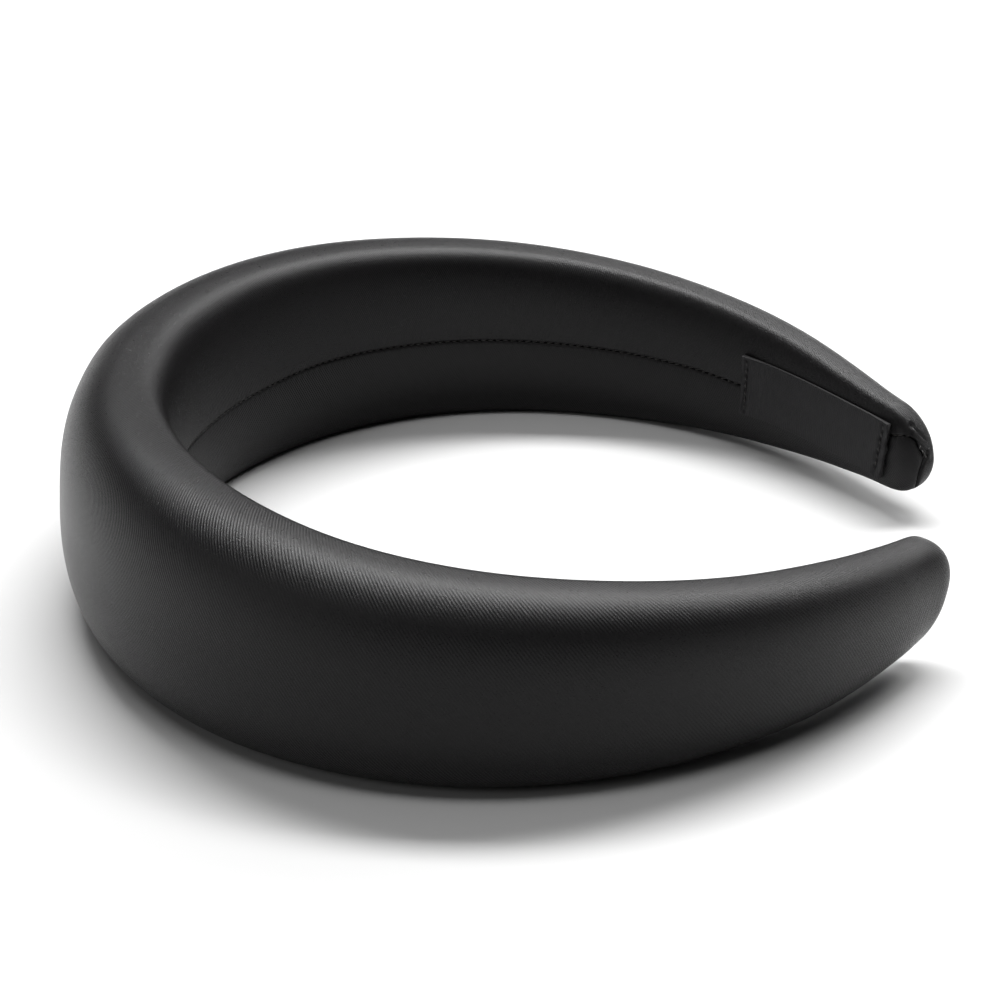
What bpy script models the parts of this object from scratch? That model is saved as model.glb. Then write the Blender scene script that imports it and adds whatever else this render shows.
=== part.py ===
"""Padded hoop headband lying on its lower rim.

The band is one soft hoop of padding in a satin cover. It is highest and deepest at the crown and
tapers along two arms to rounded tips with an open mouth between them. The lower half of its inner
face is a panel of its own, sewn in along the middle of the band and round both tips, and one arm
carries a plain woven label.

Units are metres and +Z is up. The crown is at -X, the mouth at +X, and the label is on the +Y arm.
The shapes are first worked out in the band's own frame, in which the inner face of the crown passes
through the origin and the middle of the band's height is z = 0. The rest frame then tips and lowers
them onto the floor, with the origin under the middle of the whole band.
"""

import math

import bmesh
import bpy
import numpy as np
from mathutils import Matrix, Vector
from mathutils.bvhtree import BVHTree

# The hoop in plan
INNER_WIDTH = 0.124
INNER_LENGTH = 0.1288
TIP_DROP = 0.0010

# The padded band's section
CROWN_HEIGHT = 0.0404
CROWN_DEPTH = 0.0200
TIP_HEIGHT = 0.0164
TIP_DEPTH = 0.0088
SECTION_LEAN_DEG = 2.8
OUTER_SQUARENESS = 3.2
INNER_SQUARENESS = 2.7

# The sewn-in panel on the lower half of the inner face
PANEL_THICKNESS = 0.0012
PANEL_LIP = 0.0030
PANEL_LOWER_SHARE = 0.72

# The woven label on one arm
LABEL_LENGTH = 0.0360
LABEL_HEIGHT = 0.0120
LABEL_THICKNESS = 0.0009
LABEL_TO_TIP = 0.0089

# How the pieces meet, and how the band rests
SEAM_GAP = 0.0003
REST_PITCH_DEG = 2.8
REST_PRESS = 0.0004

# One row for each section of an arm, from the middle of the crown to the tip.
# along: share of the arm's length
# heading: direction of the arm there, in degrees from straight out towards the mouth
# height, depth: 1 is the crown's size and 0 the tip's
# closing_height, closing_depth: share of that size which the rounded end leaves
# rim: where the section is highest, as a share of its depth from the inner face
# seam: height of the inner seam, as a share of half the section's height
SECTION_COLUMNS = ("along", "heading", "height", "depth", "closing_height", "closing_depth", "rim", "seam")
SECTIONS = (
    (0.000, 90.0, 1.00, 1.00, 1.00, 1.00, 0.37, 0.00),
    (0.100, 73.6, 0.99, 0.95, 1.00, 1.00, 0.35, 0.00),
    (0.200, 57.5, 0.97, 0.89, 1.00, 1.00, 0.34, 0.00),
    (0.300, 40.8, 0.91, 0.83, 1.00, 1.00, 0.33, 0.00),
    (0.400, 22.5, 0.82, 0.76, 1.00, 1.00, 0.32, 0.00),
    (0.500, 3.9, 0.73, 0.65, 1.00, 1.00, 0.31, 0.00),
    (0.600, -13.4, 0.62, 0.51, 1.00, 1.00, 0.29, 0.00),
    (0.700, -28.4, 0.46, 0.37, 1.00, 1.00, 0.28, -0.02),
    (0.800, -41.4, 0.28, 0.28, 1.00, 1.00, 0.27, 0.00),
    (0.880, -46.6, 0.12, 0.14, 1.00, 1.00, 0.27, 0.20),
    (0.940, -46.0, 0.00, 0.00, 1.00, 1.00, 0.30, 0.40),
    (0.980, -42.0, 0.00, 0.00, 0.80, 0.72, 0.36, 0.60),
    (1.000, -40.0, 0.00, 0.00, 0.46, 0.34, 0.45, 0.70),
)

# How finely the shapes are made
SECTION_POINTS = 12
SUBDIVISIONS = 2
PATH_SAMPLES = 401
STAND_OFF_PASSES = 8
PANEL_COLUMNS = 65
PANEL_ROWS = 3
LABEL_COLUMNS = 13
LABEL_ROWS = 4
SMOOTH_ANGLE_DEG = 40

COVER_COLOUR = (0.016, 0.015, 0.016, 1.0)
PANEL_COLOUR = (0.014, 0.013, 0.014, 1.0)
LABEL_COLOUR = (0.011, 0.010, 0.011, 1.0)


def clear_scene():
    for existing in list(bpy.data.objects):
        bpy.data.objects.remove(existing, do_unlink=True)


def new_collection(name):
    collection = bpy.data.collections.new(name)
    bpy.context.scene.collection.children.link(collection)
    return collection


def fabric(name, colour, roughness):
    material = bpy.data.materials.new(name)
    material.use_nodes = True
    shader = material.node_tree.nodes["Principled BSDF"]
    shader.inputs["Base Color"].default_value = colour
    shader.inputs["Roughness"].default_value = roughness
    shader.inputs["Metallic"].default_value = 0.0
    return material


def column(name):
    """One column of the section table."""
    return np.array([row[SECTION_COLUMNS.index(name)] for row in SECTIONS])


def at(name, along):
    """A column's value at any share of the arm, on straight lines between the rows."""
    return float(np.interp(along, column("along"), column(name)))


class ArmPath:
    """The inner face's line in plan, on the +Y arm, from the headings and the two inner sizes."""

    def __init__(self):
        self.along = np.linspace(0.0, 1.0, PATH_SAMPLES)
        heading = np.radians(np.interp(self.along, column("along"), column("heading")))
        middle = (heading[1:] + heading[:-1]) / 2
        x = np.concatenate([[0.0], np.cumsum(np.cos(middle))])
        y = np.concatenate([[0.0], np.cumsum(np.sin(middle))])
        self.x = x * INNER_LENGTH / x[-1]
        self.y = y * INNER_WIDTH / 2 / y.max()
        self.length = float(np.hypot(np.diff(self.x), np.diff(self.y)).sum())

    def point(self, along):
        return Vector((np.interp(along, self.along, self.x), np.interp(along, self.along, self.y), 0.0))

    def outward(self, along):
        """Level unit vector out of the inner face. It is exactly -X at the middle of the crown."""
        if along == 0.0:
            return Vector((-1.0, 0.0, 0.0))
        step = 0.004
        run = self.point(min(along + step, 1.0)) - self.point(max(along - step, 0.0))
        return Vector((-run.y, run.x, 0.0)).normalized()


def section_size(along):
    """Height and depth of the band at a share of the arm."""
    height = TIP_HEIGHT + (CROWN_HEIGHT - TIP_HEIGHT) * at("height", along)
    depth = TIP_DEPTH + (CROWN_DEPTH - TIP_DEPTH) * at("depth", along)
    return height * at("closing_height", along), depth * at("closing_depth", along)


def middle_height(along):
    """Height of the band's middle, which sinks a little towards the tips."""
    return -TIP_DROP * along**2


def section_ring(path, along):
    """Points round one section, from the middle of the outer face up and over to the inner face."""
    height, depth = section_size(along)
    rim = at("rim", along)
    lean = math.radians(SECTION_LEAN_DEG)
    base = path.point(along) + Vector((0.0, 0.0, middle_height(along)))
    outward = path.outward(along)
    ring = []
    for step in range(SECTION_POINTS):
        turn = 2 * math.pi * step / SECTION_POINTS
        across, up = math.cos(turn), math.sin(turn)
        outer = across > -1e-9
        power = 2 / (OUTER_SQUARENESS if outer else INNER_SQUARENESS)
        reach = (1 - rim) if outer else rim
        out = depth * (rim + reach * math.copysign(abs(across) ** power, across))
        rise = height / 2 * math.copysign(abs(up) ** power, up)
        leaned_out = out * math.cos(lean) - rise * math.sin(lean)
        leaned_rise = out * math.sin(lean) + rise * math.cos(lean)
        ring.append(base + outward * leaned_out + Vector((0.0, 0.0, leaned_rise)))
    return ring


def stand_off(rings):
    """Cage whose subdivided surface passes through the rings, apart from the last one.

    Subdivision draws a cage in by a known average of neighbours, so the cage is pushed out by what
    is missing, a few times over. The first ring's neighbour is its mirror image in the plane y = 0.
    """
    wanted = np.array(rings)
    cage = wanted.copy()
    for _ in range(STAND_OFF_PASSES):
        around = (np.roll(cage, 1, axis=1) + 4 * cage + np.roll(cage, -1, axis=1)) / 6
        before = np.concatenate([around[1:2] * (1, -1, 1), around[:-1]])
        after = np.concatenate([around[1:], around[-1:]])
        drawn = (before + 4 * around + after) / 6
        cage[:-1] += (wanted - drawn)[:-1]
    return cage


def mesh_object(name, verts, faces, collection, material=None):
    mesh = bpy.data.meshes.new(name)
    shape = bmesh.new()
    made = [shape.verts.new(point) for point in verts]
    for face in faces:
        shape.faces.new([made[index] for index in face])
    bmesh.ops.recalc_face_normals(shape, faces=shape.faces)
    shape.to_mesh(mesh)
    shape.free()
    if material:
        mesh.materials.append(material)
    thing = bpy.data.objects.new(name, mesh)
    collection.objects.link(thing)
    return thing


def build_band(path, collection):
    """Half of the cage, open at the plane y = 0, mirrored and subdivided."""
    cage = stand_off([section_ring(path, along) for along in column("along")])
    rings, points = cage.shape[:2]
    faces = []
    for ring in range(rings - 1):
        for step in range(points):
            following = (step + 1) % points
            here, there = ring * points, (ring + 1) * points
            faces.append((here + step, here + following, there + following, there + step))
    faces.append(tuple((rings - 1) * points + step for step in range(points)))
    satin = fabric("satin_cover", COVER_COLOUR, 0.45)
    band = mesh_object("padded_band", cage.reshape(-1, 3), faces, collection, satin)
    mirror = band.modifiers.new("other_arm", "MIRROR")
    mirror.use_axis = (False, True, False)
    mirror.merge_threshold = 0.00001
    soft = band.modifiers.new("soft_form", "SUBSURF")
    soft.levels = SUBDIVISIONS
    soft.render_levels = SUBDIVISIONS
    return band


class InnerFace:
    """Finds points on the band's inner face, by looking out at it from inside the hoop."""

    def __init__(self, path, band):
        self.path = path
        self.surface = BVHTree.FromObject(band, bpy.context.evaluated_depsgraph_get())

    def point(self, along, height, proud):
        """The point at a share of an arm (negative on the -Y arm), standing proud of the face."""
        side = -1.0 if along < 0 else 1.0
        outward = self.path.outward(abs(along))
        outward = Vector((outward.x, side * outward.y, 0.0))
        place = self.path.point(abs(along))
        place = Vector((place.x, side * place.y, height))
        start = place - outward * TIP_DEPTH
        found = self.surface.ray_cast(start, outward)[0]
        return found - outward * proud


def build_strip(name, face, shares, limits, proud, rows, collection, material=None):
    """A thin solid that follows the inner face.

    shares are its columns along the hoop, limits gives the lowest and highest point of a column,
    and proud is how far its front and its back stand in from the face.
    """
    verts = []
    for depth in proud:
        for along in shares:
            low, high = limits(along)
            for row in range(rows + 1):
                verts.append(face.point(along, low + (high - low) * row / rows, depth))
    across = rows + 1
    back = len(shares) * across
    faces = []
    for col in range(len(shares) - 1):
        for row in range(rows):
            here, there = col * across + row, (col + 1) * across + row
            quad = (here, there, there + 1, here + 1)
            faces.append(quad)
            faces.append(tuple(back + index for index in reversed(quad)))
        for row in (0, rows):
            here, there = col * across + row, (col + 1) * across + row
            faces.append((here, there, back + there, back + here))
    for col in (0, len(shares) - 1):
        for row in range(rows):
            here, there = col * across + row, col * across + row + 1
            faces.append((here, there, back + there, back + here))
    return mesh_object(name, verts, faces, collection, material)


def cut(target, cutter, name):
    cutter.hide_render = True
    cutter.display_type = "WIRE"
    boolean = target.modifiers.new(name, "BOOLEAN")
    boolean.operation = "DIFFERENCE"
    boolean.solver = "EXACT"
    boolean.object = cutter


def build_panel(path, face, band, parts, cutters):
    """The panel, flush with the inner face, and its recess in the band."""

    def outline(margin):
        def limits(along):
            half = section_size(abs(along))[0] / 2
            middle = middle_height(along)
            low = middle - PANEL_LOWER_SHARE * half - margin
            high = middle + at("seam", abs(along)) * half + margin
            return low, high

        return limits

    end = 1 - PANEL_LIP / path.length
    shares = np.linspace(-end, end, PANEL_COLUMNS)
    satin = fabric("satin_panel", PANEL_COLOUR, 0.5)
    proud = (0.0, -PANEL_THICKNESS)
    panel = build_strip("inner_panel", face, shares, outline(0.0), proud, PANEL_ROWS, parts, satin)
    shares[0] -= SEAM_GAP / path.length
    shares[-1] += SEAM_GAP / path.length
    proud = (PANEL_THICKNESS, -PANEL_THICKNESS - SEAM_GAP)
    recess = build_strip("panel_recess", face, shares, outline(SEAM_GAP), proud, PANEL_ROWS, cutters)
    cut(band, recess, "panel_recess")
    return panel


def build_label(path, face, parts):
    """The bare label, sewn on over the seam of the +Y arm."""

    def limits(along):
        return middle_height(along) - LABEL_HEIGHT / 2, middle_height(along) + LABEL_HEIGHT / 2

    far = 1 - LABEL_TO_TIP / path.length
    near = far - LABEL_LENGTH / path.length
    shares = np.linspace(near, far, LABEL_COLUMNS)
    tape = fabric("woven_label", LABEL_COLOUR, 0.7)
    proud = (SEAM_GAP + LABEL_THICKNESS, SEAM_GAP)
    return build_strip("label", face, shares, limits, proud, LABEL_ROWS, parts, tape)


def evaluated_corners(thing, turned):
    """Lowest and highest corner of a thing's evaluated mesh, as turned by a matrix."""
    shape = thing.evaluated_get(bpy.context.evaluated_depsgraph_get()).to_mesh()
    points = np.array([turned @ vertex.co for vertex in shape.vertices])
    return points.min(axis=0), points.max(axis=0)


def set_down(band, parts, cutters):
    """Tips the band onto its lower rim, centres it and presses the rim flat on the floor."""
    pitch = Matrix.Rotation(math.radians(REST_PITCH_DEG), 4, "Y")
    low, high = evaluated_corners(band, pitch)
    rest = bpy.data.objects.new("rest_frame", None)
    parts.objects.link(rest)
    shift = Vector((-(low[0] + high[0]) / 2, 0.0, -low[2] - REST_PRESS))
    rest.matrix_world = Matrix.Translation(shift) @ pitch
    for thing in list(parts.objects) + list(cutters.objects):
        if thing is not rest:
            thing.parent = rest
    bpy.ops.mesh.primitive_cube_add(size=1.0)
    floor = bpy.context.object
    floor.name = "floor_cut"
    floor.scale = (2 * INNER_LENGTH + 2 * CROWN_DEPTH, 2 * INNER_WIDTH, CROWN_HEIGHT)
    floor.location = (0.0, 0.0, -CROWN_HEIGHT / 2)
    for holder in list(floor.users_collection):
        holder.objects.unlink(floor)
    cutters.objects.link(floor)
    cut(band, floor, "pressed_flat")


def main():
    clear_scene()
    parts = new_collection("hoop_headband")
    cutters = new_collection("headband_cutters")
    path = ArmPath()
    band = build_band(path, parts)
    bpy.context.view_layer.update()
    face = InnerFace(path, band)
    build_panel(path, face, band, parts, cutters)
    build_label(path, face, parts)
    set_down(band, parts, cutters)
    for thing in parts.objects:
        if thing.type == "MESH":
            thing.data.shade_smooth()
            thing.data.set_sharp_from_angle(angle=math.radians(SMOOTH_ANGLE_DEG))


main()
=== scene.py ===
"""Looks of the padded hoop headband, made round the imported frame.

The band, the panel on the lower half of its inner face and the label are lofted again, finely,
from the part's own sizes and a section table fitted more closely to the photo than the source's,
and each gets its fabric. The shapes are worked out in the band's own frame, in which the inner face
of the crown passes through the origin and the middle of the band's height is z = 0, and are then
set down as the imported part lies.
"""

import math

import bpy
import numpy as np
from mathutils import Matrix, Vector


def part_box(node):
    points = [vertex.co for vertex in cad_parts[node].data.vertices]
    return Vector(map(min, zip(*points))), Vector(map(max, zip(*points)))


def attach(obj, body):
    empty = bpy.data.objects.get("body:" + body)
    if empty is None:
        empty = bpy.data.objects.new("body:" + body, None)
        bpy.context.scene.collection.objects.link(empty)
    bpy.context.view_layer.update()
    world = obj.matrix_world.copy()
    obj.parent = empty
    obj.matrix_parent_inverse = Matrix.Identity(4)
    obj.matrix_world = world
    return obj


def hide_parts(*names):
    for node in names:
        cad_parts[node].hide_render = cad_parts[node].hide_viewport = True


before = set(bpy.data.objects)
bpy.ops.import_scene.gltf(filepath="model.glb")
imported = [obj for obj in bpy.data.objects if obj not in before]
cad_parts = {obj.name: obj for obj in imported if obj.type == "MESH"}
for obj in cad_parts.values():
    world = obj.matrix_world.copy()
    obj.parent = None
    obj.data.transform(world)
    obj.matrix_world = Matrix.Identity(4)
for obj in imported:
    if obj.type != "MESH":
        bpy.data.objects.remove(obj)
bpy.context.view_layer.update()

MM = 0.001

# The hoop in plan and its main sizes, as in the part's source
INNER_WIDTH = 0.124
INNER_LENGTH = 0.1288
TIP_DROP = 0.0010
CROWN_HEIGHT = 0.0404
CROWN_DEPTH = 0.0200
TIP_HEIGHT = 0.0164
TIP_DEPTH = 0.0088
INNER_SQUARENESS = 2.7
REST_PITCH_DEG = 2.8
REST_PRESS = 0.0004
REST_PRESS_SOFTNESS = 0.00012
REST_PRESS_BELOW = 0.002

# The sections, a little different from the source's. Each row: share of the arm,
# heading in degrees, height, depth, place of the rim, place of the seam, squareness of the outer
# side, lean in degrees
SECTIONS = (
    (0.000, 90.0, 1.01, 0.97, 0.37, -0.06, 2.70, 1.4),
    (0.100, 73.6, 1.00, 0.93, 0.35, -0.08, 2.80, 1.7),
    (0.200, 57.5, 0.98, 0.89, 0.34, -0.07, 2.90, 2.1),
    (0.300, 40.8, 0.92, 0.84, 0.33, -0.02, 3.00, 2.6),
    (0.400, 22.5, 0.83, 0.77, 0.32, -0.01, 3.00, 2.8),
    (0.500, 4.3, 0.74, 0.66, 0.31, 0.00, 3.00, 2.8),
    (0.600, -12.0, 0.63, 0.52, 0.29, 0.00, 2.95, 2.8),
    (0.700, -26.8, 0.48, 0.38, 0.28, -0.01, 2.90, 2.8),
    (0.800, -40.8, 0.31, 0.29, 0.27, -0.06, 2.80, 2.8),
    (0.880, -47.4, 0.14, 0.19, 0.27, 0.02, 2.70, 2.8),
    (0.940, -48.0, 0.04, 0.07, 0.30, 0.22, 2.60, 2.8),
    (0.980, -46.0, 0.02, 0.02, 0.36, 0.50, 2.50, 2.8),
    (1.000, -44.0, 0.02, 0.00, 0.40, 0.93, 2.50, 2.8),
)
ALONG, HEADING, HEIGHT, DEPTH, RIM, SEAM, SQUARENESS, LEAN = np.array(SECTIONS).T

# The rounded ends. Pairs are for the near arm and for the label's arm
END_REACH = (-0.0071, -0.0018)
END_SLANT = (0.34, -0.24)
END_SLANT_FROM = 0.012
END_HEIGHT_ROUND = (0.0062, 0.0074)
END_DEPTH_ROUND = 0.0048
END_SQUARENESS = 2.35
END_CENTRE = 0.74

# The padding is a little slimmer where the label is sewn down
LABEL_PRESS_FROM = 0.66
LABEL_PRESS_HEIGHT = 0.035
LABEL_PRESS_DEPTH = 0.11

# The seam and the panel
VALLEY_DEPTH = 0.00045
VALLEY_WIDTH = 0.0032
EDGE_ROLL = 0.00045
PANEL_RECESS = 0.0011
PANEL_LOWER_SHARE = 1.0
SEAM_GAP = 0.00012
LIP_MIDDLE = 0.00003
LIP_CORNERS = (0.0036, 0.0008)
LIP_CURVE = 0.93
TIP_GAP = 0.00006
PANEL_SINK = 0.00005
PANEL_BACK_GAP = 0.00008

# The fold at each tip. Each row: distance to the end, and w
FOLD_LINE = (
    (0.00105, 0.0043),
    (0.00143, 0.0064),
    (0.00100, 0.0057),
    (0.00051, 0.0047),
    (0.00030, 0.0040),
)
FOLD_DEPTH = 0.00022
FOLD_WIDTH = 0.00026
NOTCH_DEPTH = 0.00045
NOTCH_WIDTH = 0.00055
HEM_STITCH_LEVELS = (0.74, 0.50, 0.30, 0.12)
HEM_STITCH_SLANTS_DEG = (-28.0, 16.0, -12.0, 22.0)

# The label
LABEL_LENGTH = 0.0357
LABEL_SKEW = 0.0027
LABEL_LEFT_RISE = 0.0003
LABEL_RIGHT_RISE = 0.0000
LABEL_HEIGHT = 0.0118
LABEL_NARROWING = 0.05
LABEL_THICKNESS = 0.00040
LABEL_FOLD = 0.0045
LABEL_FOLD_RISE = 0.00025
LABEL_FOLD_SOFTNESS = 0.00025
LABEL_GROOVE = 0.00060
LABEL_GROOVE_WIDTH = 0.00042
LABEL_GROOVE_TO_SIDE = 0.0009
LABEL_GROOVE_SHARE = 0.80
LABEL_GROOVE_SWING = 0.20
LABEL_CORNER = 0.0018
LABEL_CORNER_RISE = 0.00045
LABEL_WAVE = 0.00018
LABEL_WAVE_LENGTH = 0.0034
LABEL_WAVE_PHASE = 0.8
LABEL_WAVE_REACH = 0.0012
LABEL_STITCH_PITCH = 0.0015
LABEL_STITCHES = 7
LABEL_ROW_MIDDLE = -0.0001
LABEL_TO_TIP = 0.0075
LABEL_EDGE = 0.00018
LABEL_BACK_LIFT = 0.00002
LABEL_STITCH_INSETS = (0.0009, 0.0016)

# The stitches: how far each lies off the surface, its slant, length and radius
STITCH_SLANT_DEG = 14.0
SEAM_STITCH_LIFT = -VALLEY_DEPTH - 0.0002
SEAM_STITCH_LENGTH = 0.0011
SEAM_STITCH_RADIUS = 0.00013
SEAM_STITCH_TO_TIP = 0.0006
SEAM_STITCH_TO_LABEL = (0.0004, 0.0006)
LABEL_STITCH_LIFT = LABEL_THICKNESS - 0.00004
LABEL_STITCH_LENGTH = 0.0009
LABEL_STITCH_RADIUS = 0.00015
HEM_STITCH_INSET = 0.00004
HEM_STITCH_LIFT = -0.00018
HEM_STITCH_LENGTH = 0.0007
HEM_STITCH_RADIUS = 0.00012

# How finely things are made. A pull brings columns or rows closer together at both ends
TABLE_COLUMNS = 1201
TABLE_ROWS = 1024
TABLE_PULL = 1.7
TABLE_TO_TIP = 0.00002
HEADING_STEP = 0.0004
RING_SAMPLES = 1440
PATH_SAMPLES = 3001
COVER_COLUMNS = 460
END_COLUMNS = 36
END_TURN_SHARE = 0.982
PANEL_ROWS_FINE = 26
COVER_ROWS_FINE = 140
PANEL_COLUMNS_FINE = 601
PANEL_FRONT_ROWS = 27
LABEL_COLUMNS_FINE = 201
LABEL_ROWS_FINE = 73
COVER_INNER_PULL = 0.86
COVER_OUTER_PULL = 0.90
PANEL_COLUMN_PULL = 0.90
PANEL_ROW_PULL = 0.88
LABEL_PULL = 0.9
ON_EDGE = 1e-9
LEAST_LENGTH = 1e-15


def smooth_curve(x, y):
    """A function through the points of a table column, smooth and without overshoot."""
    step = np.diff(x)
    slope = np.diff(y) / step
    tilt = np.zeros(len(x))
    same = slope[1:] * slope[:-1] > 0
    w1, w2 = 2 * step[1:] + step[:-1], step[1:] + 2 * step[:-1]
    with np.errstate(divide="ignore", invalid="ignore"):
        mean = (w1 + w2) / (w1 / slope[:-1] + w2 / slope[1:])
    tilt[1:-1] = np.where(same, mean, 0.0)
    tilt[-1] = slope[-1]

    def value(at):
        at = np.asarray(at, float)
        k = np.clip(np.searchsorted(x, at, side="right") - 1, 0, len(x) - 2)
        t = (at - x[k]) / step[k]
        return (
            y[k] * (1 + 2 * t) * (1 - t) ** 2
            + y[k + 1] * t**2 * (3 - 2 * t)
            + step[k] * (tilt[k] * t * (1 - t) ** 2 + tilt[k + 1] * t**2 * (t - 1))
        )

    return value


def clustered(count, pull):
    """Numbers from 0 to 1, closer together at both ends."""
    t = np.linspace(0.0, 1.0, count)
    return t - pull / (2 * math.pi) * np.sin(2 * math.pi * t)


def height_reach(a):
    """How far from its end an arm starts to lose height."""
    return np.where(np.asarray(a) < 0, *END_HEIGHT_ROUND)


def cover_columns():
    """Places along the hoop for the cover's rings, evenly spaced on the arms and, round each end, by
    the turn of its profile."""
    turn = np.linspace(0.0, END_TURN_SHARE, END_COLUMNS + 1) * math.pi / 2
    shares = 1 - np.sin(turn) ** (2 / END_SQUARENESS)
    near_round, far_round = END_HEIGHT_ROUND
    far, near = float(hoop.length(1.0)), float(hoop.length(-1.0))
    arms = np.linspace(-(near - near_round), far - far_round, COVER_COLUMNS)
    return np.concatenate([-(near - near_round * shares[:0:-1]), arms, far - far_round * shares[1:]])


def rolled(distance, radius=EDGE_ROLL):
    """How far an edge turns down at a distance from its seam."""
    t = np.clip(1 - distance / radius, 0.0, 1.0)
    return radius * (1 - np.sqrt(1 - t**2))


def valley(distance):
    """How deep the cloth is drawn in at a distance from the seam."""
    return VALLEY_DEPTH * np.exp(-distance / VALLEY_WIDTH)


class Hoop:
    """The band's surface. a is the signed way along the hoop from the crown, in metres, positive on
    the label's arm. w is the signed way round a section from the middle of its inner face,
    positive upwards."""

    def __init__(self):
        share = np.linspace(0.0, 1.0, PATH_SAMPLES)
        heading = np.radians(smooth_curve(ALONG, HEADING)(share))
        middle = (heading[1:] + heading[:-1]) / 2
        x = np.concatenate([[0.0], np.cumsum(np.cos(middle))])
        y = np.concatenate([[0.0], np.cumsum(np.sin(middle))])
        self.x = x * INNER_LENGTH / x[-1]
        self.y = y * INNER_WIDTH / 2 / y.max()
        self.way = np.concatenate([[0.0], np.cumsum(np.hypot(np.diff(self.x), np.diff(self.y)))])
        self.arm = self.way[-1]
        t = np.linspace(-1.0, 1.0, TABLE_COLUMNS)
        self.a = np.sign(t) * (1 - (1 - np.abs(t)) ** TABLE_PULL) * (self.length(t) - TABLE_TO_TIP)
        self.fill_table()

    def length(self, a):
        """Length of the arm that a lies on."""
        return self.arm + np.where(np.asarray(a) < 0, *END_REACH)

    def share(self, a):
        return np.clip(np.abs(a) / self.arm, 0.0, 1.0)

    def size(self, a):
        """Height and depth of the section, before the end rounds it off."""
        share = self.share(a)
        height = TIP_HEIGHT + (CROWN_HEIGHT - TIP_HEIGHT) * smooth_curve(ALONG, HEIGHT)(share)
        depth = TIP_DEPTH + (CROWN_DEPTH - TIP_DEPTH) * smooth_curve(ALONG, DEPTH)(share)
        pressed = np.clip((share - LABEL_PRESS_FROM) / (1 - LABEL_PRESS_FROM), 0, 1)
        pressed = np.where(np.asarray(a) > 0, pressed, 0)
        pressed = pressed**2 * (3 - 2 * pressed)
        return height * (1 - LABEL_PRESS_HEIGHT * pressed), depth * (1 - LABEL_PRESS_DEPTH * pressed)

    def closing(self, a, reach):
        """Share of the height or depth that the rounded end leaves."""
        t = 1 - np.clip((self.length(a) - np.abs(a)) / reach, 0.0, 1.0)
        return (1 - t**END_SQUARENESS) ** (1 / END_SQUARENESS)

    def middle(self, a):
        return -TIP_DROP * self.share(a) ** 2

    def fill_table(self):
        """Points, normals and w for many sections, each at evenly spaced places round it."""
        a = self.a
        d, side = np.minimum(np.abs(a), self.arm), np.where(a < 0, -1.0, 1.0)
        step = HEADING_STEP
        ends = np.stack([np.clip(d - step, 0.0, self.arm - step), np.clip(d + step, step, self.arm)])
        px, py = np.interp(ends, self.way, self.x), np.interp(ends, self.way, self.y)
        run = np.stack([px[1] - px[0], py[1] - py[0]])
        run[:, d < step] = np.array([[0.0], [1.0]])
        run /= np.hypot(*run)
        beyond = np.maximum(np.abs(a) - self.arm, 0.0)
        base_x = np.interp(d, self.way, self.x) + run[0] * beyond
        base_y = (np.interp(d, self.way, self.y) + run[1] * beyond) * side
        outward = np.stack([-run[1], side * run[0]], axis=1)
        height, depth = self.size(a)
        close_height, close_depth = self.closing(a, height_reach(a)), self.closing(a, END_DEPTH_ROUND)
        rim = smooth_curve(ALONG, RIM)(self.share(a))
        turn = np.linspace(-math.pi, math.pi, RING_SAMPLES + 1)
        across, up = -np.cos(turn), np.sin(turn)
        squareness = smooth_curve(ALONG, SQUARENESS)(self.share(a))
        power = np.where(across[None, :] > 0, 2 / squareness[:, None], 2 / INNER_SQUARENESS)
        reach = np.where(across[None, :] > 0, 1 - rim[:, None], rim[:, None])
        out = rim[:, None] + reach * np.sign(across) * np.abs(across) ** power
        out = depth[:, None] * (out * close_depth[:, None] + END_CENTRE * (1 - close_depth[:, None]))
        rise = (close_height * height)[:, None] / 2 * np.sign(up) * np.abs(up) ** power
        lean = np.radians(smooth_curve(ALONG, LEAN)(self.share(a)))[:, None]
        level = out * np.cos(lean) - rise * np.sin(lean)
        near_end = np.clip(1 - (self.length(a) - d) / END_SLANT_FROM, 0.0, 1.0)
        slant = np.where(a < 0, *END_SLANT) * near_end**2 * (3 - 2 * near_end)
        rings = np.empty((len(a), RING_SAMPLES + 1, 3))
        forward = rise * slant[:, None]
        rings[..., 0] = base_x[:, None] + level * outward[:, 0, None] + forward * run[0][:, None]
        rings[..., 1] = base_y[:, None] + level * outward[:, 1, None] + forward * (run[1] * side)[:, None]
        rings[..., 2] = out * np.sin(lean) + rise * np.cos(lean) + self.middle(a)[:, None]
        gone = np.linalg.norm(np.diff(rings, axis=1), axis=2)
        way = np.concatenate([np.zeros((len(a), 1)), np.cumsum(gone, axis=1)], axis=1)
        self.total = way[:, -1]
        self.start = -way[:, RING_SAMPLES // 2]
        even = np.linspace(0.0, 1.0, TABLE_ROWS + 1)
        self.table = np.empty((len(a), TABLE_ROWS + 1, 3))
        for col in range(len(a)):
            for axis in range(3):
                self.table[col, :, axis] = np.interp(even * self.total[col], way[col], rings[col, :, axis])
        along = np.gradient(self.table, self.a, axis=0)
        round_it = np.roll(self.table[:, :-1], -1, axis=1) - np.roll(self.table[:, :-1], 1, axis=1)
        round_it = np.concatenate([round_it, round_it[:, :1]], axis=1)
        normal = np.cross(along, round_it)
        self.normal = normal / np.maximum(np.linalg.norm(normal, axis=2, keepdims=True), LEAST_LENGTH)
        quarter = RING_SAMPLES // 4
        inner = slice(quarter, 3 * quarter + 1)
        self.inner_z = rings[:, inner, 2]
        self.inner_w = way[:, inner] + self.start[:, None]

    def at_height(self, share_of_half):
        """w, for each of the table's sections, at a height over the middle on the inner face."""
        half = self.size(self.a)[0] / 2 * self.closing(self.a, height_reach(self.a))
        wanted = self.middle(self.a) + share_of_half * half
        return np.array([np.interp(z, self.inner_z[k], self.inner_w[k]) for k, z in enumerate(wanted)])

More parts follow.
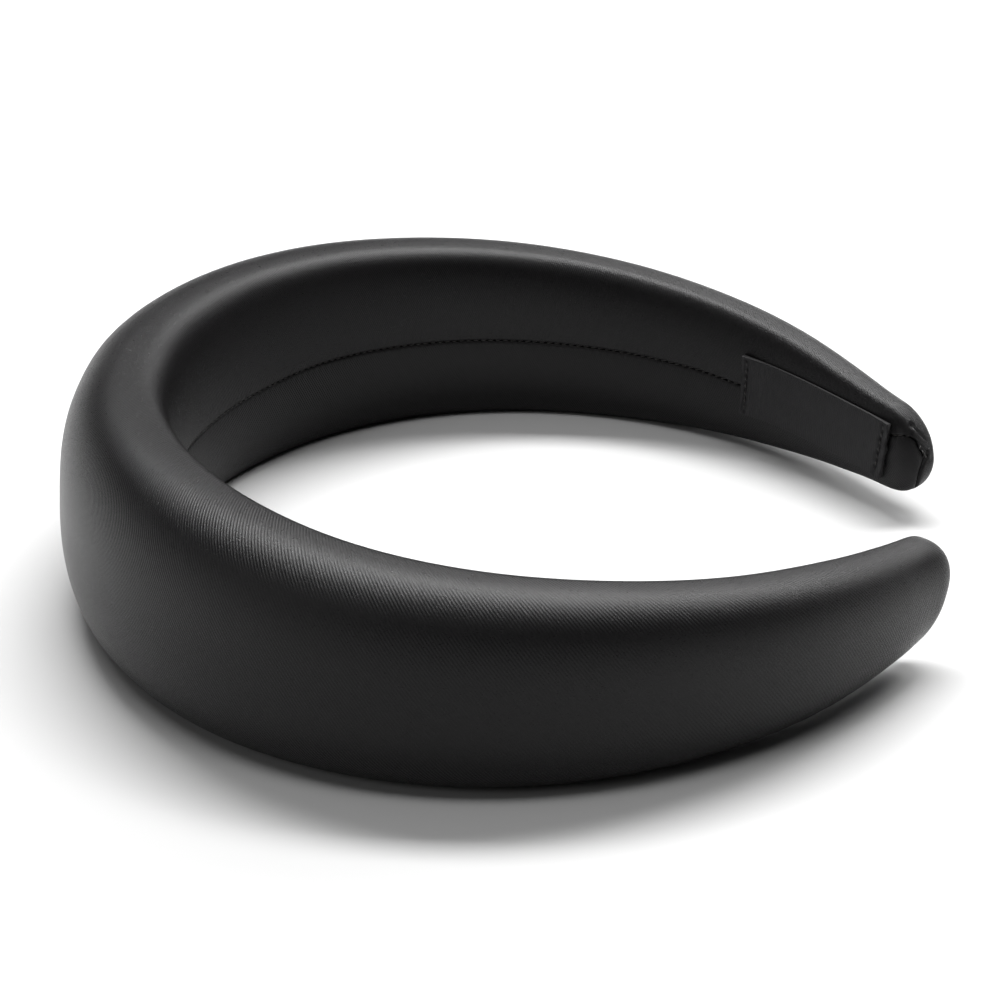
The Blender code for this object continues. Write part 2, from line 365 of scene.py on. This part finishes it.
    def sample(self, a, w):
        """Surface points and outward normals."""
        a, w = np.broadcast_arrays(np.asarray(a, float), np.asarray(w, float))
        a = np.clip(a, self.a[0], self.a[-1])
        col = np.clip(np.searchsorted(self.a, a, side="right") - 1, 0, len(self.a) - 2)
        t = (a - self.a[col]) / (self.a[col + 1] - self.a[col])
        total = self.total[col] * (1 - t) + self.total[col + 1] * t
        start = self.start[col] * (1 - t) + self.start[col + 1] * t
        place = ((w - start) / total) % 1.0 * TABLE_ROWS
        row = np.clip(place.astype(int), 0, TABLE_ROWS - 1)
        s = (place - row)[..., None]
        t = t[..., None]

        def blend(values):
            low = values[col, row] * (1 - s) + values[col, row + 1] * s
            high = values[col + 1, row] * (1 - s) + values[col + 1, row + 1] * s
            return low * (1 - t) + high * t

        normal = blend(self.normal)
        normal = normal / np.maximum(np.linalg.norm(normal, axis=-1, keepdims=True), LEAST_LENGTH)
        return blend(self.table), normal


hoop = Hoop()
seam_table = hoop.at_height(smooth_curve(ALONG, SEAM)(np.abs(hoop.a) / hoop.length(hoop.a)))
foot_table = hoop.at_height(np.full(len(hoop.a), -PANEL_LOWER_SHARE))
middle_table = hoop.at_height(np.zeros(len(hoop.a)))


def seam_w(a):
    return np.interp(a, hoop.a, seam_table)


def foot_w(a):
    return np.interp(a, hoop.a, foot_table)


def middle_w(a):
    return np.interp(a, hoop.a, middle_table)


def panel_end(level, side):
    """a of the panel's curved end, for a level from -1 at its foot to 1 at the seam."""
    curve = 1 - np.sqrt(1 - (LIP_CURVE * level) ** 2)
    return hoop.length(side) - LIP_MIDDLE - np.where(level < 0, *LIP_CORNERS) * curve


def mesh_piece(name, points, uv, faces, material):
    """A mesh object from points, faces and the ways across the cloth at each corner of each face.
    Where uv has four columns, the last two are the way along the seam and the distance to it."""
    mesh = bpy.data.meshes.new(name)
    mesh.from_pydata(points.tolist(), [], faces)
    uv = np.asarray(uv, np.float32)
    for first, layer_name in ((0, "cloth"), (2, "seam")):
        if uv.shape[1] > first:
            layer = mesh.uv_layers.new(name=layer_name)
            layer.data.foreach_set("uv", uv[:, first:first + 2].ravel())
    mesh.materials.append(material)
    mesh.shade_smooth()
    piece = bpy.data.objects.new(name, mesh)
    bpy.context.scene.collection.objects.link(piece)
    return piece


def tube_piece(name, points, uv, material):
    """A closed mesh from rings of points, each ring a column, with a fan over both ends. Its faces
    point outwards."""
    columns, rows = points.shape[:2]
    col, row = np.meshgrid(np.arange(columns - 1), np.arange(rows), indexing="ij")
    nxt = (row + 1) % rows
    here, there = col * rows, (col + 1) * rows
    quads = np.stack([here + row, here + nxt, there + nxt, there + row], axis=-1)
    corners = np.stack([uv[col, row], uv[col, row + 1], uv[col + 1, row + 1], uv[col + 1, row]], axis=2)
    faces = quads.reshape(-1, 4).tolist()
    loops = [corners.reshape(-1, uv.shape[-1])]
    flat = points.reshape(-1, 3)
    for end, turned in ((0, True), (columns - 1, False)):
        centre = len(flat)
        flat = np.vstack([flat, points[end].mean(axis=0)])
        for k in range(rows):
            first, second = end * rows + k, end * rows + (k + 1) % rows
            fan = [(first, uv[end, k]), (second, uv[end, k + 1]), (centre, uv[end, k])]
            if turned:
                fan = [fan[1], fan[0], fan[2]]
            faces.append([index for index, _ in fan])
            loops.append(np.array([place for _, place in fan]))
    return mesh_piece(name, flat, np.concatenate(loops), faces, material)


def fold_drop(points):
    """How deep the cover is folded in at a place near a tip: a pit where the seam ends, and a line
    from there round the top of the tip."""
    drop = np.zeros(points.shape[:-1])
    for side in (-1.0, 1.0):
        to_end, w = np.array(FOLD_LINE).T
        line = hoop.sample(side * (hoop.length(side) - to_end), w)[0]
        distance = np.linalg.norm(points - line[1], axis=-1)
        deep = NOTCH_DEPTH * np.exp(-((distance / NOTCH_WIDTH) ** 2))
        for start, stop in zip(line[:-1], line[1:]):
            run = stop - start
            share = np.clip((points - start) @ run / (run @ run), 0.0, 1.0)
            distance = np.linalg.norm(points - (start + share[..., None] * run), axis=-1)
            deep = np.maximum(deep, FOLD_DEPTH * np.exp(-((distance / FOLD_WIDTH) ** 2)))
        drop += deep
    return drop


def cover_shape():
    """The cover, ring by ring, with its edges turned in at the seams and sunk under the panel."""
    a = cover_columns()
    top, foot = seam_w(a)[:, None], foot_w(a)[:, None]
    total = np.interp(a, hoop.a, hoop.total)[:, None]
    inside = top - foot
    rows_panel = clustered(PANEL_ROWS_FINE + 1, COVER_INNER_PULL)[None, :-1]
    rows_cover = clustered(COVER_ROWS_FINE + 1, COVER_OUTER_PULL)[None, :-1]
    down = np.concatenate([rows_panel * inside, inside + rows_cover * (total - inside)], axis=1)
    points, normals = hoop.sample(a[:, None], top - down)
    level = 1 - 2 * np.clip(down / inside, 0.0, 1.0)
    past = np.abs(a)[:, None] - panel_end(level, a[:, None])
    under = down < inside + ON_EDGE
    to_edge = np.minimum(np.abs(total - down), np.abs(down - inside))
    beside = np.where(under, np.maximum(past, 0.0), np.hypot(to_edge, np.maximum(past, 0.0)))
    edge_row = (down < ON_EDGE) | (np.abs(down - inside) < ON_EDGE)
    drop = np.where(under & (past < 0) & ~edge_row, PANEL_RECESS, rolled(beside))
    to_seam = np.hypot(np.minimum(down, total - down), np.maximum(past, 0.0))
    drop = drop + valley(to_seam) + fold_drop(points)
    points = points - normals * drop[..., None]
    around = np.concatenate([down, total], axis=1)
    to_seam = np.concatenate([to_seam, to_seam[:, :1]], axis=1)
    along = np.broadcast_to(a[:, None], around.shape)
    return points, np.stack([along, around, along, to_seam], axis=-1)


def panel_shape():
    """The panel's front and, inside the recess, its back, ring by ring."""
    share = (clustered(PANEL_COLUMNS_FINE, PANEL_COLUMN_PULL) * 2 - 1)[:, None]
    row = clustered(PANEL_FRONT_ROWS, PANEL_ROW_PULL)[None, :]
    end = panel_end(1 - 2 * row, share) - TIP_GAP
    a = share * end
    top, foot = seam_w(a) - SEAM_GAP, foot_w(a) + SEAM_GAP
    down = row * (top - foot)
    edge = np.minimum(np.minimum(row, 1 - row) * (top - foot), (1 - np.abs(share)) * end)
    points, normals = hoop.sample(a, top - down)
    drop = rolled(edge) + valley(down) + PANEL_SINK
    front = points - normals * drop[..., None]
    back = points - normals * (PANEL_RECESS - PANEL_BACK_GAP + valley(down))[..., None]
    rings = np.concatenate([front, back[:, ::-1]], axis=1)
    around = np.concatenate([down, down[:, ::-1], down[:, :1]], axis=1)
    along = np.concatenate([a, a[:, ::-1], a[:, :1]], axis=1)
    return rings, np.stack([along, around, along, around], axis=-1)


def label_shape(near, far):
    """The label's front and back. Its ends are turned under, pulled in at their stitches and a little
    wavy, and its corners stand off."""
    across = clustered(LABEL_COLUMNS_FINE, LABEL_PULL)[:, None]
    row = clustered(LABEL_ROWS_FINE, LABEL_PULL)[None, :]
    half = LABEL_HEIGHT / 2 * (1 - LABEL_NARROWING * across)
    h = half * (1 - 2 * row)
    wave = np.sin(2 * math.pi * h / LABEL_WAVE_LENGTH + LABEL_WAVE_PHASE)
    far_edge = far + LABEL_SKEW * h / LABEL_HEIGHT + LABEL_WAVE * wave
    a = near + across * (far_edge - near)
    w = middle_w(a) + h + LABEL_LEFT_RISE + (LABEL_RIGHT_RISE - LABEL_LEFT_RISE) * across
    points, normals = hoop.sample(a, w)
    to_end = np.minimum(a - near, far_edge - a)
    to_side = half - np.abs(h)
    fold = 1 / (1 + np.exp((to_end - LABEL_FOLD) / LABEL_FOLD_SOFTNESS))
    inset = np.where(across < 0.5, *LABEL_STITCH_INSETS)
    pulled = np.exp(-(((to_end - inset) / LABEL_GROOVE_WIDTH) ** 2))
    pulled = pulled * np.clip(to_side / LABEL_GROOVE_TO_SIDE, 0.0, 1.0)
    swing = np.cos(2 * math.pi * (h - LABEL_ROW_MIDDLE) / LABEL_STITCH_PITCH)
    stitched = LABEL_GROOVE_SHARE - LABEL_GROOVE_SWING * swing
    corner = np.exp(-((to_end / LABEL_CORNER) ** 2) - (to_side / LABEL_CORNER) ** 2)
    proud = LABEL_THICKNESS + LABEL_FOLD_RISE * fold + LABEL_CORNER_RISE * corner
    proud = proud + LABEL_WAVE * wave * np.exp(-to_end / LABEL_WAVE_REACH) * (across > 0.5)
    proud = proud - LABEL_GROOVE * pulled * stitched
    proud = proud - rolled(np.minimum(to_end, to_side), LABEL_EDGE)
    front = points + normals * proud[..., None]
    back = points + normals * LABEL_BACK_LIFT
    rings = np.concatenate([front, back[:, ::-1]], axis=1)

    def ring_values(values):
        return np.concatenate([values, values[:, ::-1], values[:, :1]], axis=1)

    ways = (a - near, LABEL_HEIGHT / 2 - h, to_end, to_side)
    return rings, np.stack([ring_values(way) for way in ways], axis=-1)


cover_points, cover_uv = cover_shape()
PITCH = np.array(Matrix.Rotation(math.radians(REST_PITCH_DEG), 3, "Y"))
turned = cover_points.reshape(-1, 3) @ PITCH.T
SHIFT = np.array([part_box("padded_band")[0].x - turned[:, 0].min(), 0.0, -turned[:, 2].min() - REST_PRESS])


def set_down(points):
    """From the band's own frame to the row frame, pressed flat where it lies on the floor."""
    moved = points @ PITCH.T + SHIFT
    low = moved[..., 2]
    pressed = (low + np.sqrt(low**2 + REST_PRESS_SOFTNESS**2)) / 2
    moved[..., 2] = np.where(low < REST_PRESS_BELOW, pressed, low)
    return moved


def stitch_rows(name, a, w, lift, slant_deg, length, radius, across=False):
    """Stitches of thread at places on the surface, each a short arch that dives in at both ends.
    They run along the hoop, or across it, turned by slant_deg."""
    points, normals = hoop.sample(a, w)
    points = points + normals * lift
    step = HEADING_STEP / 2
    ahead = hoop.sample(a + step, w)[0] - hoop.sample(a - step, w)[0]
    ahead /= np.linalg.norm(ahead, axis=-1, keepdims=True)
    aside = np.cross(normals, ahead)
    if across:
        ahead, aside = aside, -ahead
    turn = np.radians(np.broadcast_to(slant_deg, a.shape))[:, None]
    ahead, aside = ahead * np.cos(turn) + aside * np.sin(turn), aside * np.cos(turn) - ahead * np.sin(turn)
    steps, sides = 9, 8
    s = np.linspace(-1.0, 1.0, steps)
    thick = radius * np.sqrt(np.clip(1 - np.abs(s) ** 5, 0.02, 1.0))
    arch = -1.6 * radius * np.abs(s) ** 3
    turn = 2 * math.pi * np.arange(sides) / sides
    x = (s * length / 2)[:, None] + 0 * turn
    y = thick[:, None] * np.cos(turn)
    z = arch[:, None] + thick[:, None] * np.sin(turn)
    shape = np.stack([x, y, z], axis=-1).reshape(-1, 3)
    world = (
        points[:, None, :]
        + shape[None, :, 0:1] * ahead[:, None, :]
        + shape[None, :, 1:2] * aside[:, None, :]
        + shape[None, :, 2:3] * normals[:, None, :]
    )
    world = set_down(world.reshape(-1, 3))
    faces, loops = [], []
    for k in range(len(a)):
        first = k * steps * sides
        for i in range(steps - 1):
            for j in range(sides):
                nxt = (j + 1) % sides
                one, two = first + i * sides, first + (i + 1) * sides
                faces.append((one + j, one + nxt, two + nxt, two + j))
                u1, u2, v1, v2 = i / steps, (i + 1) / steps, j / sides, (j + 1) / sides
                loops.extend([(u1, v1), (u1, v2), (u2, v2), (u2, v1)])
        last = first + (steps - 1) * sides
        faces.append(tuple(first + j for j in reversed(range(sides))))
        faces.append(tuple(last + j for j in range(sides)))
        loops.extend([(0.0, 0.0)] * (2 * sides))
    piece = mesh_piece(name, world, loops, faces, THREAD)
    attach(piece, "root")


# Materials
class Nodes:
    """A short way to write a material's nodes."""

    def __init__(self, name):
        self.material = bpy.data.materials.new(name)
        self.material.use_nodes = True
        self.tree = self.material.node_tree
        self.shader = self.tree.nodes["Principled BSDF"]

    def add(self, kind, **settings):
        node = self.tree.nodes.new(kind)
        for key, value in settings.items():
            setattr(node, key, value)
        return node

    def join(self, out, into):
        self.tree.links.new(out, into)

    def set(self, name, value):
        self.shader.inputs[name].default_value = value

    def math(self, operation, first, second=None):
        node = self.add("ShaderNodeMath", operation=operation)
        for index, value in enumerate((first, second)):
            if isinstance(value, (int, float)):
                node.inputs[index].default_value = value
            elif value is not None:
                self.join(value, node.inputs[index])
        return node.outputs[0]

    def noise(self, scale, detail=2.0, vector=None):
        node = self.add("ShaderNodeTexNoise")
        node.inputs["Scale"].default_value = scale
        node.inputs["Detail"].default_value = detail
        if vector is not None:
            self.join(vector, node.inputs["Vector"])
        return node.outputs["Fac"]

    def between(self, factor, low, high):
        """A colour between two, by a factor from 0 to 1."""
        node = self.add("ShaderNodeMix", data_type="RGBA")
        self.join(factor, node.inputs["Factor"])
        node.inputs[6].default_value = low
        node.inputs[7].default_value = high
        return node.outputs[2]

    def range(self, value, low, high):
        node = self.add("ShaderNodeMapRange")
        self.join(value, node.inputs["Value"])
        node.inputs["To Min"].default_value = low
        node.inputs["To Max"].default_value = high
        return node.outputs["Result"]

    def ways(self, layer="cloth"):
        """The way along and the way across the cloth, or along and off the seam, in metres."""
        uv = self.add("ShaderNodeUVMap", uv_map=layer)
        parts = self.add("ShaderNodeSeparateXYZ")
        self.join(uv.outputs["UV"], parts.inputs[0])
        return parts.outputs["X"], parts.outputs["Y"]

    def bump(self, height, depth):
        node = self.add("ShaderNodeBump")
        node.inputs["Strength"].default_value = 1.0
        node.inputs["Distance"].default_value = depth
        self.join(height, node.inputs["Height"])
        self.join(node.outputs["Normal"], self.shader.inputs["Normal"])


# The satin. A share is how strongly something counts in the bump, next to the twill
STITCH_PITCH = 0.0014
PUCKER_DEPTH = 0.00006
PUCKER_REACH = 0.0009
TWILL_PITCH = 0.00040
TWILL_ANGLE_DEG = 60.0
TWILL_DEPTH = 0.00001
TWILL_SHARE = (1.0, 2.0)
WEFT_RATIO = 1.9
WEFT_SHARE = 0.25
DRIFT_SCALE = 260.0
DRIFT_SHARE = 0.8
BROAD_SCALE = 60.0
GRAIN_SCALE = 2600.0
GRAIN_SHARE = 2.6
SATIN_SPECULAR = 0.22
SATIN_ROUGHNESS_SPREAD = (0.04, 0.06)
COVER_ROUGHNESS = 0.28
PANEL_ROUGHNESS = 0.34
SATIN_DARK = (0.0040, 0.0037, 0.0041, 1.0)
COVER_LIGHT = (0.0058, 0.0054, 0.0058, 1.0)
PANEL_LIGHT = (0.0056, 0.0052, 0.0056, 1.0)

# The label's tape
RIB_PITCH = 0.00045
RIB_TILT = 900.0
PICK_PITCH = 0.0003
PICK_SHARE = 0.35
TAPE_DRIFT_SCALE = 400.0
TAPE_DRIFT_SHARE = 1.5
STREAK_SCALE = 2400.0
STREAK_TILT = 0.25
STREAK_LENGTH = 0.15
STREAK_SHARE = 3.0
TAPE_DEPTH = 0.00002
TAPE_SPECULAR = 0.3
TAPE_ROUGHNESS = (0.55, 0.7)
TAPE_DARK = (0.0050, 0.0048, 0.0054, 1.0)
TAPE_LIGHT = (0.0170, 0.0164, 0.0176, 1.0)
SELVEDGE_WIDTH = 0.00012
SELVEDGE = (0.015, 0.0145, 0.015, 1.0)

# The sewing thread
TWIST = 40.0
THREAD_SCALE = 500.0
THREAD_DEPTH = 0.00002
THREAD_ROUGHNESS = 0.4
THREAD_DARK = (0.012, 0.0115, 0.0115, 1.0)
THREAD_LIGHT = (0.040, 0.037, 0.034, 1.0)


def satin(name, light, roughness):
    n = Nodes(name)
    u, v = n.ways()
    angle = math.radians(TWILL_ANGLE_DEG)
    turns = 2 * math.pi / TWILL_PITCH
    along = n.math("MULTIPLY", u, math.sin(angle) * turns)
    across = n.math("MULTIPLY", v, -math.cos(angle) * turns)
    twill = n.math("SINE", n.math("ADD", along, across))
    weft = n.math("SINE", n.math("MULTIPLY", v, turns * WEFT_RATIO))
    drift = n.noise(DRIFT_SCALE, 3.0)
    broad = n.noise(BROAD_SCALE, 2.0)
    weave = n.math("MULTIPLY", twill, n.range(drift, *TWILL_SHARE))
    weave = n.math("ADD", weave, n.math("MULTIPLY", weft, WEFT_SHARE))
    weave = n.math("ADD", weave, n.math("MULTIPLY", drift, DRIFT_SHARE))
    weave = n.math("ADD", weave, n.math("MULTIPLY", n.noise(GRAIN_SCALE, 1.0), GRAIN_SHARE))
    seam_along, off_seam = n.ways("seam")
    fading = n.math("EXPONENT", n.math("MULTIPLY", off_seam, -1 / PUCKER_REACH))
    stitches = n.math("COSINE", n.math("MULTIPLY", seam_along, 2 * math.pi / STITCH_PITCH))
    pucker = n.math("MULTIPLY", n.math("MULTIPLY", stitches, fading), -PUCKER_DEPTH / TWILL_DEPTH)
    weave = n.math("ADD", weave, pucker)
    n.bump(weave, TWILL_DEPTH)
    n.join(n.between(broad, SATIN_DARK, light), n.shader.inputs["Base Color"])
    below, above = SATIN_ROUGHNESS_SPREAD
    n.join(n.range(drift, roughness - below, roughness + above), n.shader.inputs["Roughness"])
    n.set("Specular IOR Level", SATIN_SPECULAR)
    return n.material


def woven_tape():
    n = Nodes("woven_label")
    u, v = n.ways()
    _, to_side = n.ways("seam")
    rib_along = n.math("MULTIPLY", u, 2 * math.pi / RIB_PITCH)
    rib_across = n.math("MULTIPLY", v, RIB_TILT)
    rib = n.math("SINE", n.math("ADD", rib_along, rib_across))
    pick = n.math("SINE", n.math("MULTIPLY", v, 2 * math.pi / PICK_PITCH))
    drift = n.noise(TAPE_DRIFT_SCALE, 3.0)
    place = n.add("ShaderNodeCombineXYZ")
    streak_along = n.math("MULTIPLY", u, STREAK_SCALE)
    streak_across = n.math("MULTIPLY", v, STREAK_SCALE * STREAK_TILT)
    n.join(n.math("ADD", streak_along, streak_across), place.inputs[0])
    n.join(n.math("MULTIPLY", v, STREAK_SCALE * STREAK_LENGTH), place.inputs[1])
    streaks = n.noise(1.0, 2.0, place.outputs[0])
    picks = n.math("MULTIPLY", pick, PICK_SHARE)
    drifts = n.math("MULTIPLY", drift, TAPE_DRIFT_SHARE)
    height = n.math("ADD", rib, n.math("ADD", picks, drifts))
    height = n.math("ADD", height, n.math("MULTIPLY", streaks, STREAK_SHARE))
    n.bump(height, TAPE_DEPTH)
    selvedge = n.math("EXPONENT", n.math("MULTIPLY", to_side, -1 / SELVEDGE_WIDTH))
    tape = n.between(streaks, TAPE_DARK, TAPE_LIGHT)
    blend = n.add("ShaderNodeMix", data_type="RGBA")
    n.join(selvedge, blend.inputs["Factor"])
    n.join(tape, blend.inputs[6])
    blend.inputs[7].default_value = SELVEDGE
    n.join(blend.outputs[2], n.shader.inputs["Base Color"])
    n.join(n.range(drift, *TAPE_ROUGHNESS), n.shader.inputs["Roughness"])
    n.set("Specular IOR Level", TAPE_SPECULAR)
    return n.material


def sewing_thread():
    n = Nodes("sewing_thread")
    u, v = n.ways()
    along, around = n.math("MULTIPLY", u, TWIST), n.math("MULTIPLY", v, 2 * math.pi)
    n.bump(n.math("SINE", n.math("ADD", along, around)), THREAD_DEPTH)
    colour = n.between(n.noise(THREAD_SCALE), THREAD_DARK, THREAD_LIGHT)
    n.join(colour, n.shader.inputs["Base Color"])
    n.set("Roughness", THREAD_ROUGHNESS)
    return n.material


COVER_SATIN = satin("satin_cover", COVER_LIGHT, COVER_ROUGHNESS)
PANEL_SATIN = satin("satin_panel", PANEL_LIGHT, PANEL_ROUGHNESS)
TAPE = woven_tape()
THREAD = sewing_thread()

band = tube_piece("padded_band_cover", set_down(cover_points), cover_uv, COVER_SATIN)
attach(band, "root")
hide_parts("padded_band")

panel_points, panel_uv = panel_shape()
panel = tube_piece("inner_panel_satin", set_down(panel_points), panel_uv, PANEL_SATIN)
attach(panel, "root")
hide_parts("inner_panel")

LABEL_FAR = hoop.arm - LABEL_TO_TIP
LABEL_NEAR = LABEL_FAR - LABEL_LENGTH
label_points, label_uv = label_shape(LABEL_NEAR, LABEL_FAR)
label = tube_piece("woven_label_tape", set_down(label_points), label_uv, TAPE)
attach(label, "root")
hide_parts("label")

# Stitches
seam_ends = [float(panel_end(np.array(1.0), side)) - SEAM_STITCH_TO_TIP for side in (-1.0, 1.0)]
first_stitch = math.ceil(-seam_ends[0] / STITCH_PITCH)
last_stitch = math.floor(seam_ends[1] / STITCH_PITCH)
seam_a = STITCH_PITCH * np.arange(first_stitch, last_stitch + 1)
before_label = seam_a < LABEL_NEAR - SEAM_STITCH_TO_LABEL[0]
past_label = seam_a > LABEL_FAR + SEAM_STITCH_TO_LABEL[1]
seam_a = seam_a[before_label | past_label]
stitch_rows(
    "seam_stitches", seam_a, seam_w(seam_a), SEAM_STITCH_LIFT, STITCH_SLANT_DEG,
    SEAM_STITCH_LENGTH, SEAM_STITCH_RADIUS,
)
rows = LABEL_ROW_MIDDLE + LABEL_STITCH_PITCH * (np.arange(LABEL_STITCHES) - (LABEL_STITCHES - 1) / 2)
near_inset, far_inset = LABEL_STITCH_INSETS
label_rows = (
    ("near", LABEL_NEAR + near_inset + 0 * rows, LABEL_LEFT_RISE),
    ("far", LABEL_FAR + LABEL_SKEW * rows / LABEL_HEIGHT - far_inset, LABEL_RIGHT_RISE),
)
for end_name, row_a, rise in label_rows:
    stitch_rows(
        f"label_stitches_{end_name}", row_a, middle_w(row_a) + rise + rows, LABEL_STITCH_LIFT,
        STITCH_SLANT_DEG, LABEL_STITCH_LENGTH, LABEL_STITCH_RADIUS, across=True,
    )
for side, end_name in ((-1.0, "near"), (1.0, "far")):
    level = np.array(HEM_STITCH_LEVELS)
    hem_a = side * (panel_end(level, side) - HEM_STITCH_INSET)
    hem_w = seam_w(hem_a) - (1 - level) / 2 * (seam_w(hem_a) - foot_w(hem_a))
    stitch_rows(
        f"hem_stitches_{end_name}", hem_a, hem_w, HEM_STITCH_LIFT,
        side * np.array(HEM_STITCH_SLANTS_DEG), HEM_STITCH_LENGTH, HEM_STITCH_RADIUS, across=True,
    )


# Camera
CAMERA_AZIMUTH_DEG = 1.806
CAMERA_ELEVATION_DEG = 26.489
CAMERA_ROLL_DEG = 2.635
CAMERA_DISTANCE = 0.500975
CAMERA_FOCAL_PX = 2777.417
CAMERA_TARGET = np.array([54.785, 17.788, -12.398]) * MM
IMAGE_PX = 1000
SENSOR = 36.0


def add_camera():
    azimuth, elevation, roll = np.radians([CAMERA_AZIMUTH_DEG, CAMERA_ELEVATION_DEG, CAMERA_ROLL_DEG])
    back = np.array([
        math.sin(azimuth) * math.cos(elevation),
        -math.cos(azimuth) * math.cos(elevation),
        math.sin(elevation),
    ])
    right = np.cross(-back, [0.0, 0.0, 1.0])
    right /= np.linalg.norm(right)
    up = np.cross(right, -back)
    turned_right = right * math.cos(roll) + up * math.sin(roll)
    turned_up = -right * math.sin(roll) + up * math.cos(roll)
    matrix = np.eye(4)
    matrix[:3, :3] = PITCH @ np.stack([turned_right, turned_up, back], axis=1)
    matrix[:3, 3] = (CAMERA_TARGET + back * CAMERA_DISTANCE) @ PITCH.T + SHIFT
    data = bpy.data.cameras.new("camera")
    data.sensor_fit = "HORIZONTAL"
    data.sensor_width = SENSOR
    data.lens = CAMERA_FOCAL_PX * SENSOR / IMAGE_PX
    data.clip_start = 0.01
    data.clip_end = 20.0
    camera = bpy.data.objects.new("camera", data)
    camera.matrix_world = Matrix(matrix.tolist())
    bpy.context.scene.collection.objects.link(camera)
    bpy.context.scene.camera = camera


add_camera()

# Studio
FLOOR_REACH = 3.0
FLOOR_DARK = (0.50, 0.50, 0.50, 1.0)
FLOOR_LIGHT = (0.52, 0.52, 0.52, 1.0)
WORLD_STRENGTH = 0.03
LIGHTS_AIM = Vector((0.0, 0.0, 0.02))

scene = bpy.context.scene
scene.view_settings.view_transform = "Standard"


def add_floor():
    n = Nodes("studio_floor")
    n.join(n.between(n.noise(3.0), FLOOR_DARK, FLOOR_LIGHT), n.shader.inputs["Base Color"])
    n.set("Roughness", 0.8)
    n.set("Specular IOR Level", 0.2)
    mesh = bpy.data.meshes.new("studio_floor")
    reach = FLOOR_REACH
    corners = [(-reach, -reach, 0), (reach, -reach, 0), (reach, reach, 0), (-reach, reach, 0)]
    mesh.from_pydata(corners, [], [(0, 1, 2, 3)])
    mesh.materials.append(n.material)
    floor = bpy.data.objects.new("studio_floor", mesh)
    scene.collection.objects.link(floor)


def add_light(name, azimuth_deg, elevation_deg, distance, width, depth, watts):
    """A softbox. Azimuth 0 is on the camera's side, 90 at +X, and 180 behind."""
    azimuth, elevation = math.radians(azimuth_deg), math.radians(elevation_deg)
    direction = Vector((
        math.sin(azimuth) * math.cos(elevation),
        -math.cos(azimuth) * math.cos(elevation),
        math.sin(elevation),
    ))
    data = bpy.data.lights.new(name, "AREA")
    data.shape = "RECTANGLE"
    data.size, data.size_y = width, depth
    data.energy = watts
    light = bpy.data.objects.new(name, data)
    light.location = LIGHTS_AIM + direction * distance
    light.rotation_mode = "QUATERNION"
    light.rotation_quaternion = direction.to_track_quat("Z", "Y")
    scene.collection.objects.link(light)


add_floor()
add_light("overhead_softbox", 180.0, 85.0, 1.0, 1.30, 1.30, 3.0)
add_light("back_high_softbox", 178.0, 69.0, 1.0, 0.90, 0.20, 19.0)
add_light("back_low_softbox", 178.0, 44.0, 1.0, 0.90, 0.16, 2.6)
add_light("back_floor_softbox", 165.0, 19.0, 1.0, 0.50, 0.24, 1.0)
add_light("right_softbox", 135.0, 40.0, 1.0, 0.40, 0.40, 4.6)
add_light("front_high_softbox", 0.0, 72.0, 1.0, 0.90, 0.30, 3.0)
add_light("front_left_softbox", 315.0, 30.0, 1.0, 0.40, 0.40, 0.8)
world = bpy.data.worlds.new("studio")
world.use_nodes = True
world.node_tree.nodes["Background"].inputs["Color"].default_value = (1.0, 1.0, 1.0, 1.0)
world.node_tree.nodes["Background"].inputs["Strength"].default_value = WORLD_STRENGTH
scene.world = world
